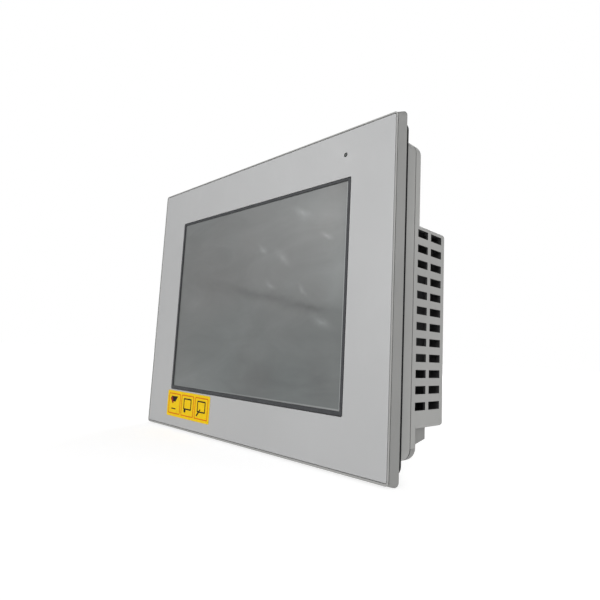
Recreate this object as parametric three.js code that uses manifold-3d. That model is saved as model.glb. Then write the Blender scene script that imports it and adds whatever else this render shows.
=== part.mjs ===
// Panel-mounted HMI touch panel with a 7.5-inch class display.
// Units are millimetres. +X is the operator's right, +Y points into the panel, +Z is up.
// Every y below is a depth behind the face of the front film. The finished group is then
// shifted so that y = 0 is the rear face of the installation gasket, where the cabinet
// door's front surface lies, and x = z = 0 is the centre of the cut-out.

import * as THREE from 'three';
import { mergeVertices } from 'three/addons/utils/BufferGeometryUtils.js';
import Module from 'manifold-3d';

const wasm = await Module();
wasm.setup();

// ---- driving dimensions -------------------------------------------------------------

const GAP = 0.3; // clearance between neighbouring pieces
const WALL = 2.2; // plastic wall of both case halves

const FLANGE = { width: 215, height: 171.3, corner: 3, depth: 4.4 }; // outline at its rear face
const LIP = { width: 210.4, height: 168.8, z: -0.2, corner: 1.8, depth: 0.3, groove: 0.45 };
const BODY = { width: 203.6, height: 156.2, corner: 6.4 };
const SEAM_DEPTH = 21.5; // where the front case meets the rear cover
const SEAM_GAP = 0.55;
const TIER_DEPTH = 27.3; // rear face of the shallow tier
const BOX_DEPTH = 52.2; // rear face of the deep box
const BOX_TOP = 36;
const BOX_BOTTOM = -63.2;

const GASKET = { width: 213.2, height: 163.6, corner: 5, strand: 4, depth: 7.4 };
const FILM = { width: 208.2, height: 166.4, corner: 0.8, thickness: 0.5, recess: 0.65, groove: 0.35 };
const WINDOW = { width: 155.4, height: 117.7, x: 0.7, z: -0.2, corner: 1 };
const RIM = { side: 1.95, top: 1.7, bottom: 2.4, depth: [0.12, 0.55] };
const LAMP = { x: 74.1, z: 70.8, radius: 1.1 };
const LABEL = { left: -79.6, right: -28.8, top: -59.9, bottom: -77.1, corner: 1.2 };

const VENT_COLUMNS = [[25.2, 34.5], [37.4, 47.9]]; // depth ranges of the two columns
const VENT_ROWS = 12;
const VENT_PITCH = 7.67;
const VENT_HEIGHT = 3.88;
const VENT_TOP = 33.6;
const VENT_WALL = 1.1; // the side wall is thinned round the vents

const SLOT = { width: 18, depth: [11, 17], x: 62 }; // installation fastener slots
const SCREW = { x: 93.5, z: 70, head: 3, shank: 1.5 };
const BOARD_DEPTH = 30; // front face of the main board
const PORT_DEPTH = 38.6; // centre line of the downward-facing ports

const BAY = { x: [40, 92], z: [-30, 12], floor: 38.4, lid: 2.2, knuckle: 1.6 };
const CARD = { length: 32, width: 24, thickness: 2.1, out: 5 };
const EXPANSION = { x: [-44, 20], z: [-16, 18], floor: 42, lid: 2.2 };
const RATING = { x: [-96, -52], z: [-34, 16], corner: 1, recess: 0.35 }; // sunk label on the rear

// ---- solid modelling helpers ---------------------------------------------------------

function toSolid(geometry) {
  geometry.deleteAttribute('normal');
  geometry.deleteAttribute('uv');
  const merged = mergeVertices(geometry, 1e-4);
  return new wasm.Manifold(new wasm.Mesh({
    numProp: 3,
    vertProperties: Float32Array.from(merged.getAttribute('position').array),
    triVerts: Uint32Array.from(merged.getIndex().array),
  }));
}

function toGeometry(solid) {
  const mesh = solid.getMesh();
  const geometry = new THREE.BufferGeometry();
  geometry.setAttribute('position', new THREE.BufferAttribute(mesh.vertProperties, 3));
  geometry.setIndex(new THREE.BufferAttribute(mesh.triVerts, 1));
  geometry.computeVertexNormals();
  return geometry;
}

const middle = (range) => (range[0] + range[1]) / 2;
const span = (range) => range[1] - range[0];
const grown = (range, by) => [range[0] - by, range[1] + by];
const about = (centre, size) => [centre - size / 2, centre + size / 2];

function block(x, y, z) {
  const geometry = new THREE.BoxGeometry(span(x), span(y), span(z));
  geometry.translate(middle(x), middle(y), middle(z));
  return toSolid(geometry);
}

const CYLINDER_TURN = { x: [0, 0, Math.PI / 2], y: [0, 0, 0], z: [Math.PI / 2, 0, 0] };

function rod(axis, centre, radius, length, sides = 20) {
  const geometry = new THREE.CylinderGeometry(radius, radius, length, sides);
  const [turnX, turnY, turnZ] = CYLINDER_TURN[axis];
  geometry.rotateX(turnX);
  geometry.rotateY(turnY);
  geometry.rotateZ(turnZ);
  geometry.translate(...centre);
  return toSolid(geometry);
}

function rounded(u, v, corner) {
  const shape = new THREE.Shape();
  const quarter = Math.PI / 2;
  shape.moveTo(u[0] + corner, v[0]);
  shape.lineTo(u[1] - corner, v[0]);
  shape.absarc(u[1] - corner, v[0] + corner, corner, -quarter, 0, false);
  shape.lineTo(u[1], v[1] - corner);
  shape.absarc(u[1] - corner, v[1] - corner, corner, 0, quarter, false);
  shape.lineTo(u[0] + corner, v[1]);
  shape.absarc(u[0] + corner, v[1] - corner, corner, quarter, 2 * quarter, false);
  shape.lineTo(u[0], v[0] + corner);
  shape.absarc(u[0] + corner, v[0] + corner, corner, 2 * quarter, 3 * quarter, false);
  return shape;
}

function outlineOf(points) {
  return new THREE.Shape(points.map(([u, v]) => new THREE.Vector2(u, v)));
}

// An outline drawn in X and Z, extruded through the depth range y, with rounded ends if asked.
function plate(outline, y, round = 0) {
  const geometry = new THREE.ExtrudeGeometry(outline, {
    depth: span(y) - 2 * round,
    bevelEnabled: round > 0,
    bevelThickness: round,
    bevelSize: round,
    bevelOffset: -round,
    bevelSegments: 3,
    curveSegments: 6,
  });
  geometry.rotateX(Math.PI / 2);
  geometry.translate(0, y[1] - round, 0);
  return toSolid(geometry);
}

// An outline drawn in Y and Z, extruded along x.
function sideways(outline, x) {
  const geometry = new THREE.ExtrudeGeometry(outline, { depth: span(x), bevelEnabled: false });
  geometry.applyMatrix4(new THREE.Matrix4().makeBasis(
    new THREE.Vector3(0, 1, 0), new THREE.Vector3(0, 0, 1), new THREE.Vector3(1, 0, 0)));
  geometry.translate(x[0], 0, 0);
  return toSolid(geometry);
}

// An outline drawn in X and Y, extruded along z.
function upright(outline, z) {
  const geometry = new THREE.ExtrudeGeometry(outline, {
    depth: span(z),
    bevelEnabled: false,
    curveSegments: 6,
  });
  geometry.translate(0, 0, z[0]);
  return toSolid(geometry);
}

const union = (solids) => solids.reduce((whole, solid) => whole.add(solid));
const cut = (solid, tools) => tools.reduce((rest, tool) => rest.subtract(tool), solid);

function finish(color, roughness, metalness = 0) {
  return new THREE.MeshStandardMaterial({ color, roughness, metalness });
}

function piece(parent, name, solid, material, at = [0, 0, 0]) {
  const mesh = new THREE.Mesh(toGeometry(solid), material);
  mesh.name = name;
  mesh.position.set(...at);
  parent.add(mesh);
  return mesh;
}

function section(parent) {
  const group = new THREE.Group();
  parent.add(group);
  return group;
}

const FINISH = {
  filmGrey: finish(0xbfc0bf, 0.55),
  caseGrey: finish(0xb3b3b0, 0.6),
  rimGrey: finish(0x4a4b4b, 0.5),
  screen: finish(0x80858a, 0.35),
  darkGlass: finish(0x2b2e30, 0.2),
  rubber: finish(0x1c1c1c, 0.9),
  yellow: finish(0xfbc72e, 0.5),
  lamp: finish(0x3a3d3a, 0.3),
  steel: finish(0xb9bcbe, 0.35, 0.9),
  aluminium: finish(0xc6c8ca, 0.4, 0.8),
  board: finish(0x1f5a3a, 0.6),
  chip: finish(0x232323, 0.5),
  black: finish(0x252525, 0.55),
  green: finish(0x2f7d4a, 0.5),
  white: finish(0xe8e8e4, 0.5),
  amber: finish(0xb98a3c, 0.6),
  silver: finish(0xd3d4d2, 0.5),
};

// ---- front ---------------------------------------------------------------------------

const windowX = about(WINDOW.x, WINDOW.width);
const windowZ = about(WINDOW.z, WINDOW.height);
const bodyX = about(0, BODY.width);
const bodyZ = about(0, BODY.height);
const innerX = grown(bodyX, -WALL);
const innerZ = grown(bodyZ, -WALL);
const TOUCH_FACE = 0.6;
const DISPLAY_FACE = 3.7;
const FRONT_WALL = 3.2; // depth of the inner side of the front wall
const touchX = grown(windowX, -GAP);
const touchZ = grown(windowZ, -GAP);

const corners = (x, z) => [[-x, -z], [x, -z], [x, z], [-x, z]];

// The flange flares out from a thin lip round the film; a fine groove parts the two.
function flangeSolid() {
  const rear = rounded(about(0, FLANGE.width), about(0, FLANGE.height), FLANGE.corner);
  const lipX = about(0, LIP.width);
  const lipZ = about(LIP.z, LIP.height);
  const lip = rounded(lipX, lipZ, LIP.corner);
  const neck = rounded(grown(lipX, -LIP.groove), grown(lipZ, -LIP.groove), LIP.corner - LIP.groove);
  const flareDepth = LIP.depth + LIP.groove;
  return union([
    plate(lip, [0, LIP.depth]),
    plate(neck, [LIP.depth / 2, flareDepth + 0.5]),
    tapered(lip, rear, [flareDepth, FLANGE.depth]),
  ]);
}

// A solid that changes from one convex outline to another along its depth.
function tapered(near, far, y) {
  const ring = (outline, depth) => outline.getPoints(6).map((point) => [point.x, depth, point.y]);
  return wasm.Manifold.hull([...ring(near, y[0]), ...ring(far, y[1])]);
}

function fastenerSlots(y) {
  return [-1, 1].flatMap((side) => [-1, 1].map((end) => block(
    about(side * SLOT.x, SLOT.width), y, about(end * (BODY.height / 2 - WALL / 2), 3 * WALL))));
}

function frontCase() {
  const shell = union([
    flangeSolid(),
    plate(rounded(bodyX, bodyZ, BODY.corner), [FLANGE.depth - 1, SEAM_DEPTH]),
  ]);
  const recessX = about(0, FILM.width + 2 * FILM.groove);
  const recessZ = about(0, FILM.height + 2 * FILM.groove);
  const hollow = cut(shell, [
    plate(rounded(recessX, recessZ, FILM.corner + FILM.groove), [-1, FILM.recess]),
    plate(rounded(windowX, windowZ, WINDOW.corner), [-1, FRONT_WALL + 1]),
    plate(rounded(innerX, innerZ, BODY.corner - WALL), [FRONT_WALL, SEAM_DEPTH + 1]),
    rod('y', [LAMP.x, 0, LAMP.z], LAMP.radius + 0.1, 12),
    ...fastenerSlots(SLOT.depth),
  ]);
  const screwPosts = corners(SCREW.x, SCREW.z).map(([x, z]) => cut(
    rod('y', [x, (FRONT_WALL + SEAM_DEPTH) / 2 - 1, z], 4, SEAM_DEPTH - FRONT_WALL - 1),
    [rod('y', [x, SEAM_DEPTH - 6, z], SCREW.shank + 0.15, 14)]));
  const chassisPosts = corners(88.4, 38).map(([x, z]) =>
    rod('y', [x, FRONT_WALL + 4.3, z], 2.4, 9));
  return union([hollow, ...screwPosts, ...chassisPosts]);
}

function frontFilm() {
  const film = plate(
    rounded(about(0, FILM.width), about(0, FILM.height), FILM.corner), [0, FILM.thickness]);
  return cut(film, [
    plate(rounded(windowX, windowZ, WINDOW.corner), [-1, 1]),
    rod('y', [LAMP.x, 0, LAMP.z], LAMP.radius + 0.1, 4),
  ]);
}

// A thin frame that lies on the touch panel's border, almost flush with the film.
function windowRim() {
  const ring = plate(rounded(touchX, touchZ, WINDOW.corner - GAP), RIM.depth);
  const inside = rounded(
    grown(windowX, -RIM.side), [windowZ[0] + RIM.bottom, windowZ[1] - RIM.top], 0.5);
  return cut(ring, [plate(inside, [-1, 4])]);
}

function gasket() {
  const x = about(0, GASKET.width);
  const z = about(0, GASKET.height);
  const ring = plate(rounded(x, z, GASKET.corner), [FLANGE.depth + 0.05, GASKET.depth], 0.3);
  const inside = rounded(grown(x, -GASKET.strand), grown(z, -3.3), 2.5);
  return cut(ring, [plate(inside, [0, 12])]);
}

// A strand that fills the gap behind the film's lip.
function lipSeal() {
  const x = grown(about(0, LIP.width), -0.1);
  const z = grown(about(LIP.z, LIP.height), -0.1);
  const inset = 0.05 - LIP.groove + 0.1;
  return cut(
    plate(rounded(x, z, LIP.corner - 0.1), [LIP.depth + 0.03, LIP.depth + LIP.groove - 0.03]),
    [plate(rounded(grown(x, inset), grown(z, inset), LIP.corner - 0.4), [-1, 2])]);
}

function buildFront(panel) {
  const front = section(panel);
  piece(front, 'front_case', frontCase(), FINISH.caseGrey);
  piece(front, 'front_film', frontFilm(), FINISH.filmGrey);
  piece(front, 'window_rim', windowRim(), FINISH.rimGrey);
  piece(front, 'lip_seal', lipSeal(), FINISH.rubber);
  piece(front, 'installation_gasket', gasket(), FINISH.rubber);
  const lamp = rod('y', [LAMP.x, 5, LAMP.z], LAMP.radius, 9.8, 16);
  piece(front, 'status_lamp', lamp, FINISH.lamp);
  const labelX = [LABEL.left, LABEL.right];
  const labelZ = [LABEL.bottom, LABEL.top];
  const label = plate(rounded(labelX, labelZ, LABEL.corner), [-0.2, -0.05]);
  piece(front, 'front_label', label, FINISH.yellow);
}

// ---- display stack -------------------------------------------------------------------

function displayFrame(x, z, depth) {
  return cut(plate(rounded(x, z, 1.5), depth), [
    plate(rounded(grown(x, -4), grown(z, -4), 0.5), [depth[0] + 0.5, depth[1] + 1]),
    plate(rounded(grown(x, -7), grown(z, -7), 0.5), [depth[0] - 1, depth[1]]),
  ]);
}

function chassisPlate(depth) {
  const base = plate(rounded(about(0, 184), about(0, 132), 3), depth);
  const cableSlots = [-30, 48].map((x) => block(about(x, 26), grown(depth, 1), about(-55, 5)));
  const lightening = [-52, 0, 52].map((x) =>
    plate(rounded(about(x, 34), about(8, 62), 4), grown(depth, 1)));
  return cut(base, [...cableSlots, ...lightening]);
}

function buildDisplay(panel) {
  const display = section(panel);
  const frameX = grown(windowX, 3.7);
  const frameZ = grown(windowZ, 3.6);
  const glassX = grown(frameX, -4 - GAP);
  const glassZ = grown(frameZ, -4 - GAP);
  const frameDepth = [DISPLAY_FACE, DISPLAY_FACE + 7.6];
  piece(display, 'touch_panel', plate(rounded(touchX, touchZ, 1.5), [TOUCH_FACE, 3.4]),
    FINISH.screen);
  piece(display, 'display_frame', displayFrame(frameX, frameZ, frameDepth), FINISH.steel);
  piece(display, 'display_glass', plate(rounded(glassX, glassZ, 0.4), [4.5, 6.3]),
    FINISH.darkGlass);
  piece(display, 'backlight_unit', plate(rounded(glassX, glassZ, 0.4), [6.6, 11]),
    FINISH.white);
  piece(display, 'chassis_plate', chassisPlate([12.3, 13.5]), FINISH.steel);
  piece(display, 'display_cable', ribbon(-30, 22), FINISH.amber);
  piece(display, 'touch_cable', ribbon(48, 14), FINISH.amber);
}

// A flat ribbon that leaves the display frame's lower edge, passes the chassis plate's slot
// and rises to the main board.
function ribbon(x, width) {
  const low = -55;
  const path = outlineOf([
    [11.5, low - 0.2], [24, low - 0.2], [24, low + 9], [29.5, low + 9],
    [29.5, low + 9.3], [23.7, low + 9.3], [23.7, low + 0.1], [11.5, low + 0.1],
  ]);
  return sideways(path, about(x, width));
}

// ---- rear cover ----------------------------------------------------------------------

const boxZ = [BOX_BOTTOM, BOX_TOP];
const doorAxis = { y: BOX_DEPTH - BAY.knuckle, z: BAY.z[0] + BAY.knuckle + GAP };

const PORTS = {
  power: { x: -76, width: 25, depth: 13 },
  serial: [{ x: -36, width: 20, depth: 10.6 }, { x: 0, width: 20, depth: 10.6 }],
  network: { x: 35, width: 16, depth: 13.4 },
  usbHost: { x: 58, width: 14.6, depth: 7.4 },
  usbDevice: { x: 78, width: 8, depth: 4.6 },
};

const portList = [PORTS.power, ...PORTS.serial, PORTS.network, PORTS.usbHost, PORTS.usbDevice];

function portOpening({ x, width, depth }) {
  const floor = [BOX_BOTTOM - 1, BOX_BOTTOM + WALL + 0.5];
  return block(about(x, width + 2 * GAP), about(PORT_DEPTH, depth + 2 * GAP), floor);
}

function sideVents() {
  const slots = [];
  for (const side of [-1, 1]) {
    for (const column of VENT_COLUMNS) {
      for (let row = 0; row < VENT_ROWS; row += 1) {
        const top = VENT_TOP - row * VENT_PITCH;
        const x = about(side * (BODY.width / 2 - WALL / 2), 2 * WALL);
        slots.push(block(x, column, [top - VENT_HEIGHT, top]));
      }
    }
  }
  return slots;
}

function topVents() {
  const slots = [];
  for (let x = -90; x <= 90; x += 9) {
    slots.push(block(about(x, 3.6), [31, 46], [BOX_TOP - WALL - 0.5, BOX_TOP + 1]));
  }
  return slots;
}

// Triangular guards under the box's ends keep a cabinet panel off the plugged-in leads.
function portGuard(side) {
  const outline = outlineOf([
    [TIER_DEPTH - 1, BOX_BOTTOM + 1], [TIER_DEPTH - 1, -72.5], [41, -69.4], [41, BOX_BOTTOM + 1],
  ]);
  const inner = side * 95.8;
  const outer = side * 98;
  return sideways(outline, [Math.min(inner, outer), Math.max(inner, outer)]);
}

// A pocket's tray is closed on its four sides and at its floor.
function pocketWalls(pocket) {
  const outline = rounded(grown(pocket.x, 1.6), grown(pocket.z, 1.6), 1);
  return plate(outline, [pocket.floor - 1.6, BOX_DEPTH - 1]);
}

// The pocket's cheeks carry the ends of the door's hinge pin.
function hingeBore() {
  return rod('x', [middle(BAY.x), doorAxis.y, doorAxis.z], 0.85, span(BAY.x) + 3, 16);
}

function rearCover() {
  const tier = plate(rounded(bodyX, bodyZ, BODY.corner), [SEAM_DEPTH - 6, TIER_DEPTH], 1.5)
    .intersect(block([-200, 200], [SEAM_DEPTH + SEAM_GAP, 60], [-200, 200]));
  const deepBox = plate(rounded(bodyX, boxZ, 1.7), [SEAM_DEPTH - 6, BOX_DEPTH], 1.6)
    .intersect(block([-200, 200], [SEAM_DEPTH + SEAM_GAP, 60], [-200, 200]));
  const shell = cut(union([tier, deepBox]), [
    plate(rounded(innerX, innerZ, BODY.corner - WALL), [SEAM_DEPTH - 1, TIER_DEPTH - WALL]),
    plate(rounded(innerX, grown(boxZ, -WALL), 0.8), [SEAM_DEPTH - 1, BOX_DEPTH - WALL]),
  ]);
  const screwBosses = corners(SCREW.x, SCREW.z).map(([x, z]) =>
    rod('y', [x, 24, z], 4, 3.6));
  const solid = union([
    shell, pocketWalls(BAY), pocketWalls(EXPANSION), portGuard(-1), portGuard(1), ...screwBosses,
  ]);
  const pockets = [BAY, EXPANSION].map((pocket) => plate(
    rounded(pocket.x, pocket.z, 0.5), [pocket.floor, BOX_DEPTH + 1]));
  const screwHoles = corners(SCREW.x, SCREW.z).flatMap(([x, z]) => [
    rod('y', [x, 24, z], SCREW.shank + 0.3, 10),
    rod('y', [x, TIER_DEPTH, z], SCREW.head + GAP, 4),
  ]);
  return cut(solid, [
    ...pockets, ...ventPanels(), ...sideVents(), ...topVents(), ...portList.map(portOpening),
    ...screwHoles, hingeBore(), fingerNotch(), ratingRecess(),
  ]);
}

// The notch that a fingertip needs to lift the bay door's free edge.
function fingerNotch() {
  return rod('y', [middle(BAY.x), BOX_DEPTH, BAY.z[1] + 1], 6, 2.4, 24);
}

// Thins the side walls from inside, so that the vents are short passages.
function ventPanels() {
  const y = [VENT_COLUMNS[0][0] - 0.8, VENT_COLUMNS[1][1] + 0.6];
  const z = [VENT_TOP - VENT_PITCH * (VENT_ROWS - 1) - VENT_HEIGHT - 1, VENT_TOP - 1];
  const outer = BODY.width / 2 - VENT_WALL;
  return [block([outer - 2, outer], y, z), block([-outer, 2 - outer], y, z)];
}

// A strand in the seam between the case halves.
function caseSeal() {
  const outline = rounded(grown(bodyX, -0.2), grown(bodyZ, -0.2), BODY.corner - 0.2);
  const inside = rounded(grown(bodyX, -1.6), grown(bodyZ, -1.6), BODY.corner - 1.6);
  const seal = plate(outline, [SEAM_DEPTH + 0.05, SEAM_DEPTH + SEAM_GAP - 0.05]);
  return cut(seal, [plate(inside, [0, 60])]);
}

function ratingRecess() {
  return plate(
    rounded(RATING.x, RATING.z, RATING.corner), [BOX_DEPTH - RATING.recess, BOX_DEPTH + 1]);
}

function caseScrew() {
  const head = rod('y', [0, -0.9, 0], SCREW.head, 1.5);
  const shank = rod('y', [0, -7.4, 0], SCREW.shank, 12);
  const recess = union([
    block([-0.4, 0.4], [-1, 0.5], [-1.7, 1.7]),
    block([-1.7, 1.7], [-1, 0.5], [-0.4, 0.4]),
  ]);
  return cut(union([head, shank]), [recess]);
}

function buildRear(panel) {
  const rear = section(panel);
  piece(rear, 'rear_cover', rearCover(), FINISH.caseGrey);
  piece(rear, 'case_seal', caseSeal(), FINISH.rubber);
  const [labelX, labelZ] = [RATING.x, RATING.z].map((side) => grown(side, -GAP));
  const label = plate(
    rounded(labelX, labelZ, RATING.corner - GAP), [BOX_DEPTH - RATING.recess + 0.05, BOX_DEPTH - 0.1]);
  piece(rear, 'rating_label', label, FINISH.silver);
  corners(SCREW.x, SCREW.z).forEach(([x, z], i) => {
    piece(rear, `case_screw_${i + 1}`, caseScrew(), FINISH.steel, [x, TIER_DEPTH, z]);
  });
}

// ---- card bay ------------------------------------------------------------------------

function cardDoor() {
  const x = grown(BAY.x, -GAP);
  const leafZ = [doorAxis.z, BAY.z[1] - GAP];
  const leaf = block(x, [BOX_DEPTH - BAY.lid, BOX_DEPTH], leafZ);
  const knuckle = rod('x', [middle(x), doorAxis.y, doorAxis.z], BAY.knuckle, span(x), 24);
  const pin = rod('x', [middle(x), doorAxis.y, doorAxis.z], 0.75, span(BAY.x) + 2, 16);
  const ribs = [x[0] + 6, x[1] - 6].map((ribX) =>
    block(about(ribX, 1.2), [BOX_DEPTH - BAY.lid - 1, BOX_DEPTH - BAY.lid + 0.1],
      [leafZ[0] + 8, leafZ[1] - 6]));
  const grip = rod('y', [middle(x), BOX_DEPTH, leafZ[1] + 2], 5, 1.6, 24);
  return cut(union([leaf, knuckle, pin, ...ribs]), [grip]);
}

const cardZ = about(-6, CARD.width);
const cardX = [BAY.x[1] - 3 - CARD.length, BAY.x[1] - 3];
const cardY = [BAY.floor + 2.1, BAY.floor + 2.1 + CARD.thickness];

function cardSocket() {
  const shellX = [cardX[0] + CARD.out, BAY.x[1] - GAP];
  const shell = block(shellX, [BAY.floor + GAP, cardY[1] + 1.2], grown(cardZ, 1.6));
  const slot = block([0, cardX[1] + GAP], grown(cardY, GAP), grown(cardZ, GAP));
  return cut(shell, [slot]);
}

function memoryCard() {
  const outline = outlineOf([
    [cardX[0], cardZ[0]], [cardX[1], cardZ[0]], [cardX[1], cardZ[1] - 3],
    [cardX[1] - 3, cardZ[1]], [cardX[0], cardZ[1]],
  ]);
  return plate(outline, cardY);
}

const SWITCH = { count: 4, pitch: 2.54, x: 45, z: -23.4, travel: 1.4 };

function switchBlock() {
  const width = SWITCH.pitch * SWITCH.count + 1.4;
  const centre = SWITCH.x + SWITCH.pitch * (SWITCH.count - 1) / 2;
  const base = block(about(centre, width), [BAY.floor + GAP, BAY.floor + 4], about(SWITCH.z, 6));
  const slots = [];
  for (let i = 0; i < SWITCH.count; i += 1) {
    const x = about(SWITCH.x + i * SWITCH.pitch, 1.5);
    slots.push(block(x, [BAY.floor + 2.2, BAY.floor + 5], about(SWITCH.z, 1.7 + SWITCH.travel)));
  }
  return cut(base, slots);
}

function buildCardBay(panel) {
  const bay = section(panel);
  piece(bay, 'card_door', cardDoor(), FINISH.caseGrey);
  piece(bay, 'card_socket', cardSocket(), FINISH.steel);
  piece(bay, 'memory_card', memoryCard(), FINISH.black);
  piece(bay, 'switch_block', switchBlock(), FINISH.black);
  const lever = block([-0.55, 0.55], [BAY.floor + 2.5, BAY.floor + 4.8], [-0.65, 0.65]);
  for (let i = 0; i < SWITCH.count; i += 1) {
    const at = [SWITCH.x + i * SWITCH.pitch, 0, SWITCH.z - SWITCH.travel / 2];
    piece(bay, `switch_lever_${i + 1}`, lever, FINISH.white, at);
  }
}

// ---- expansion pocket ----------------------------------------------------------------

function expansionCover() {
  const x = grown(EXPANSION.x, -GAP);
  const z = grown(EXPANSION.z, -GAP);
  const inner = BOX_DEPTH - EXPANSION.lid;
  const lid = plate(rounded(x, z, 0.4), [inner, BOX_DEPTH]);
  const clips = [z[0] + 2, z[1] - 2].map((clipZ) =>
    block(about(middle(x), 12), [inner - 4, inner + 0.1], about(clipZ, 1.4)));
  const ribs = [-1, 0, 1].map((i) =>
    block(about(middle(x) + i * 18, 1.2), [BOX_DEPTH - 0.5, BOX_DEPTH + 1], grown(z, -5)));
  return cut(union([lid, ...clips]), ribs);
}

function expansionConnector() {
  const x = about(middle(EXPANSION.x), 46);
  const body = block(x, [EXPANSION.floor + GAP, EXPANSION.floor + 5.2], about(1, 8));
  return cut(body, [
    block(grown(x, -1.4), [EXPANSION.floor + 1.6, EXPANSION.floor + 7], about(1, 5.4)),
  ]);
}

function buildExpansion(panel) {
  const expansion = section(panel);
  piece(expansion, 'expansion_cover', expansionCover(), FINISH.caseGrey);
  piece(expansion, 'expansion_connector', expansionConnector(), FINISH.black);
}

// ---- ports ---------------------------------------------------------------------------

const PORT_FACE = BOX_BOTTOM - 0.3; // ports end just below the box's underside
const BOARD_REAR = BOARD_DEPTH + 1.6;

function serialPort({ x, width, depth }) {
  const flangeTop = BOX_BOTTOM - GAP;
  const flange = block(about(x, 30.8), about(PORT_DEPTH, 12.5), [flangeTop - 1, flangeTop]);
  const y = about(PORT_DEPTH, 8.2);
  const shell = upright(outlineOf([
    [x - 8.2, y[0]], [x + 8.2, y[0]], [x + 9.2, y[1]], [x - 9.2, y[1]],
  ]), [flangeTop - 6.6, flangeTop]);
  const body = block(about(x, width), about(PORT_DEPTH, depth), [flangeTop - 0.1, PORT_FACE + 11.9]);
  const contacts = [];
  for (let row = 0; row < 2; row += 1) {
    const count = 5 - row;
    for (let i = 0; i < count; i += 1) {
      const contactX = x + (i - (count - 1) / 2) * 2.76;
      const contactY = PORT_DEPTH + (0.5 - row) * 2.84;
      contacts.push(rod('z', [contactX, contactY, flangeTop - 6.6], 0.6, 4, 8));
    }
  }
  const postHoles = [-1, 1].map((side) =>
    rod('z', [x + side * 12.5, PORT_DEPTH, flangeTop], 1.3, 8, 16));
  return cut(union([flange, shell, body]), [...contacts, ...postHoles]);
}

function jackPost() {
  const hexagon = rod('z', [0, 0, -4], 2.7, 5, 6);
  const thread = rod('z', [0, 0, -1], 1.1, 2.2, 12);
  return cut(union([hexagon, thread]), [rod('z', [0, 0, -6], 1.2, 4, 12)]);
}

function networkPort({ x, width, depth }) {
  const body = block(about(x, width), about(PORT_DEPTH, depth), [PORT_FACE, PORT_FACE + 20.9]);
  const mouth = block(about(x, 11.9), about(PORT_DEPTH - 0.6, 7), [PORT_FACE - 1, PORT_FACE + 14.4]);
  const latch = block(about(x, 6.2), about(PORT_DEPTH + 4, 3), [PORT_FACE - 1, PORT_FACE + 14.4]);
  return cut(body, [mouth, latch]);
}

function usbHostPort({ x, width, depth }) {
  const shell = block(about(x, width - 1), about(PORT_DEPTH, depth - 0.6), [PORT_FACE, PORT_FACE + 17.9]);
  const mouth = block(about(x, 12.5), about(PORT_DEPTH, 5.12), [PORT_FACE - 1, PORT_FACE + 9.4]);
  return cut(shell, [mouth]);
}

function usbTongue({ x }) {
  return block(about(x, 11.1), about(PORT_DEPTH - 1.1, 1.84), [PORT_FACE + 0.6, PORT_FACE + 9.3]);
}

function usbDevicePort({ x, width, depth }) {
  const shell = block(about(x, width - 0.4), about(PORT_DEPTH, depth - 0.4), [PORT_FACE, PORT_FACE + 8.9]);
  const mouth = upright(outlineOf([
    [x - 2.4, PORT_DEPTH - 1.5], [x + 2.4, PORT_DEPTH - 1.5], [x + 3.4, PORT_DEPTH - 0.3],
    [x + 3.4, PORT_DEPTH + 1.5], [x - 3.4, PORT_DEPTH + 1.5], [x - 3.4, PORT_DEPTH - 0.3],
  ]), [PORT_FACE - 1, PORT_FACE + 5.9]);
  return cut(shell, [mouth]);
}

const PLUG = {
  pitch: 7.62,
  width: 23.6,
  depth: 11.6,
  seat: PORT_FACE + 8.5,
  clamp: PORT_FACE - 6.1,
  low: PORT_FACE - 11.5,
};
const poleX = [-1, 0, 1].map((i) => PORTS.power.x + i * PLUG.pitch);

function powerSocket({ x, width, depth }) {
  const body = block(about(x, width), about(PORT_DEPTH, depth), [PORT_FACE, PORT_FACE + 14.9]);
  const shroud = block(
    about(x, width - 1), about(PORT_DEPTH, depth - 1), [PORT_FACE - 1, PLUG.seat + GAP]);
  const blades = poleX.map((pole) =>
    block(about(pole, 1), about(PORT_DEPTH, 1), [PORT_FACE + 1.5, PLUG.seat + 1]));
  return union([cut(body, [shroud]), ...blades]);
}

function powerPlug({ x }) {
  const nose = block(about(x, PLUG.width), about(PORT_DEPTH, PLUG.depth), [PORT_FACE, PLUG.seat]);
  const grip = block(
    about(x, PLUG.width + 3), [PORT_DEPTH - PLUG.depth / 2, PORT_DEPTH + 7.4],
    [PLUG.low, PORT_FACE - 0.6]);
  const neck = block(
    about(x, PLUG.width), about(PORT_DEPTH, PLUG.depth), [PORT_FACE - 1, PORT_FACE + 0.5]);
  const tools = poleX.flatMap((pole) => [
    block(about(pole, 1.6), about(PORT_DEPTH, 1.6), [PORT_FACE + 1, PLUG.seat + 1]),
    rod('y', [pole, PORT_DEPTH + 6, PLUG.clamp], 2.3, 6, 16),
    block(about(pole, 3.6), about(PORT_DEPTH, 3.8), [PLUG.low - 1, PLUG.clamp + 2]),
  ]);
  return cut(union([nose, neck, grip]), tools);
}

function clampScrew() {
  const head = rod('y', [0, 0, 0], 2.1, 2.2, 16);
  return cut(head, [block([-3, 3], [0.3, 2], [-0.35, 0.35])]);
}

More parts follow.
